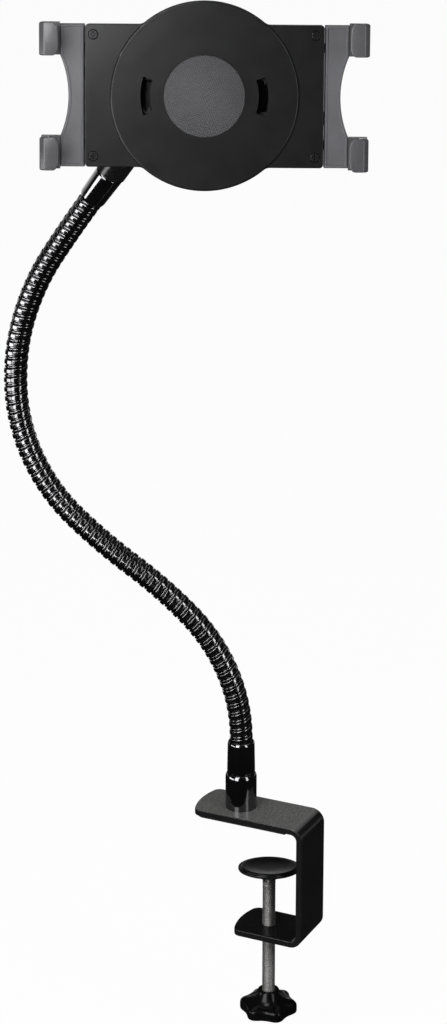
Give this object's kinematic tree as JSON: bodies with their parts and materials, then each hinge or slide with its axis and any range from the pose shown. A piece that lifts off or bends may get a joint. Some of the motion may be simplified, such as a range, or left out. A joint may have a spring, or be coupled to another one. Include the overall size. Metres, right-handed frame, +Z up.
{
  "type": "tablet arm mount",
  "caption": "Desk-clamped gooseneck arm with a sprung, tilting and turning holder that grips a tablet by its two ends.",
  "frame": {"origin": "on the gooseneck's base axis, at the face of the clamp's desk pad, which rests on the desk's top", "axes": "+Z up, -Y the way the holder faces, +X to the right seen from the front"},
  "size_m": [0.2083, 0.1259, 0.6384],
  "materials": {
    "gloss_black_paint": "gloss black paint on pressed steel",
    "neck_black": "gloss black plated spring steel",
    "shell_black": "fine-textured matt black moulded plastic",
    "panel_grey": "smooth dark grey moulded plastic",
    "grip_rubber": "grey rubber",
    "pad_rubber": "black rubber",
    "knob_plastic": "gloss black moulded plastic",
    "zinc_steel": "zinc-plated steel",
    "black_screw": "black oxide steel",
    "nylon": "natural nylon"
  },
  "bodies": {
    "clamp": {"clamp_bracket": "gloss_black_paint", "desk_pad": "pad_rubber", "base_screw": "zinc_steel", "base_socket": "neck_black", "base_ferrule": "neck_black", "gooseneck_1": "neck_black"},
    "neck_2": {"gooseneck_2": "neck_black"},
    "neck_3": {"gooseneck_3": "neck_black"},
    "neck_4": {"gooseneck_4": "neck_black"},
    "neck_5": {"gooseneck_5": "neck_black"},
    "neck_6": {"gooseneck_6": "neck_black"},
    "neck_7": {"gooseneck_7": "neck_black"},
    "neck_8": {"gooseneck_8": "neck_black"},
    "neck_9": {"gooseneck_9": "neck_black", "top_ferrule": "neck_black", "knuckle_arm": "gloss_black_paint", "tilt_bolt": "zinc_steel", "friction_washer": "nylon", "tilt_washer": "zinc_steel"},
    "tilt_lock": {"tilt_knob": "knob_plastic"},
    "hub": {"rear_hub": "shell_black", "hub_clip": "zinc_steel", "hub_washer": "nylon"},
    "holder": {"rear_cover": "shell_black", "front_housing": "shell_black", "front_disc": "shell_black", "centre_pad": "grip_rubber", "body_screws": "black_screw", "pinion_pin": "zinc_steel"},
    "gear": {"pinion": "nylon"},
    "left_side": {"left_arm": "shell_black", "left_arm_panel": "panel_grey", "left_upper_claw_pad": "grip_rubber", "left_lower_claw_pad": "grip_rubber", "upper_return_spring": "zinc_steel", "lower_return_spring": "zinc_steel"},
    "right_side": {"right_arm": "shell_black", "right_arm_panel": "panel_grey", "right_upper_claw_pad": "grip_rubber", "right_lower_claw_pad": "grip_rubber"},
    "screw_carriage": {"foot_bearing": "zinc_steel"},
    "screw": {"clamp_screw": "zinc_steel", "star_knob": "knob_plastic"},
    "foot": {"foot_cup": "knob_plastic", "foot_retainer": "zinc_steel", "foot_rubber": "pad_rubber"}
  },
  "joints": [
    {"name": "gooseneck_bend_1", "type": "hinge", "parent": "clamp", "child": "neck_2", "pos_m": [-0.00834, 0.00114, 0.09371], "axis": [0.0099, 0.9986, -0.0511], "range_deg": [-15, 15]},
    {"name": "gooseneck_bend_2", "type": "hinge", "parent": "neck_2", "child": "neck_3", "pos_m": [-0.03212, 0.00476, 0.13022], "axis": [-0.7197, -0.0415, -0.693], "range_deg": [-15, 15]},
    {"name": "gooseneck_bend_3", "type": "hinge", "parent": "neck_3", "child": "neck_4", "pos_m": [-0.06507, 0.01137, 0.15851], "axis": [0.113, 0.9798, -0.1651], "range_deg": [-15, 15]},
    {"name": "gooseneck_bend_4", "type": "hinge", "parent": "neck_4", "child": "neck_5", "pos_m": [-0.09856, 0.02019, 0.1856], "axis": [-0.682, -0.0433, -0.7301], "range_deg": [-15, 15]},
    {"name": "gooseneck_bend_5", "type": "hinge", "parent": "neck_5", "child": "neck_6", "pos_m": [-0.12384, 0.02929, 0.22011], "axis": [0.1163, 0.9799, -0.1622], "range_deg": [-15, 15]},
    {"name": "gooseneck_bend_6", "type": "hinge", "parent": "neck_6", "child": "neck_7", "pos_m": [-0.13359, 0.03511, 0.26226], "axis": [-0.9954, 0.0915, -0.0276], "range_deg": [-15, 15]},
    {"name": "gooseneck_bend_7", "type": "hinge", "parent": "neck_7", "child": "neck_8", "pos_m": [-0.12763, 0.03419, 0.30561], "axis": [0.112, 0.9908, 0.0757], "range_deg": [-15, 15]},
    {"name": "gooseneck_bend_8", "type": "hinge", "parent": "neck_8", "child": "neck_9", "pos_m": [-0.10997, 0.02611, 0.34491], "axis": [-0.8454, 0.0365, 0.5329], "range_deg": [-15, 15]},
    {"name": "head_tilt", "type": "hinge", "parent": "neck_9", "child": "hub", "pos_m": [-0.0339, -0.02723, 0.46096], "axis": [0.8068, -0.0985, -0.5826], "range_deg": [-71, 25]},
    {"name": "tilt_knob_turn", "type": "hinge", "parent": "neck_9", "child": "tilt_lock", "pos_m": [-0.0339, -0.02723, 0.46096], "axis": [0.8068, -0.0985, -0.5826], "range_deg": [-180, 180]},
    {"name": "head_rotate", "type": "hinge", "parent": "hub", "child": "holder", "pos_m": [-0.02099, -0.06233, 0.45731], "axis": [0, -0.986, 0.1668], "continuous": true},
    {"name": "left_arm_slide", "type": "slide", "parent": "holder", "child": "left_side", "axis": [-1, 0.0012, 0.0069], "range_m": [0, 0.035], "stiffness_N_per_m": 120, "springref_m": -0.03, "deforming": ["upper_return_spring", "lower_return_spring"]},
    {"name": "right_arm_slide", "type": "slide", "parent": "holder", "child": "right_side", "axis": [1, -0.0012, -0.0069], "range_m": [0, 0.035], "stiffness_N_per_m": 120, "springref_m": -0.03},
    {"name": "pinion_turn", "type": "hinge", "parent": "holder", "child": "gear", "pos_m": [-0.02099, -0.06233, 0.45731], "axis": [0, -0.986, 0.1668], "range_deg": [0, 290]},
    {"name": "clamp_screw_travel", "type": "slide", "parent": "clamp", "child": "screw_carriage", "axis": [0, 0, 1], "range_m": [-0.0285, 0.0245]},
    {"name": "clamp_screw_turn", "type": "hinge", "parent": "screw_carriage", "child": "screw", "pos_m": [0.01724, -0.00822, -0.0426], "axis": [0, 0, 1], "range_deg": [-8220, 7070]},
    {"name": "foot_tilt", "type": "hinge", "parent": "screw_carriage", "child": "foot", "pos_m": [0.01724, -0.00822, -0.037], "axis": [1, 0, 0], "range_deg": [-9.4, 24.6]}
  ],
  "couplings": [
    {"joint": "right_arm_slide", "follows": "left_arm_slide", "ratio": 1},
    {"joint": "pinion_turn", "follows": "left_arm_slide", "rad_per_m": 142.86},
    {"joint": "clamp_screw_turn", "follows": "clamp_screw_travel", "rad_per_m": 5026.5}
  ]
}
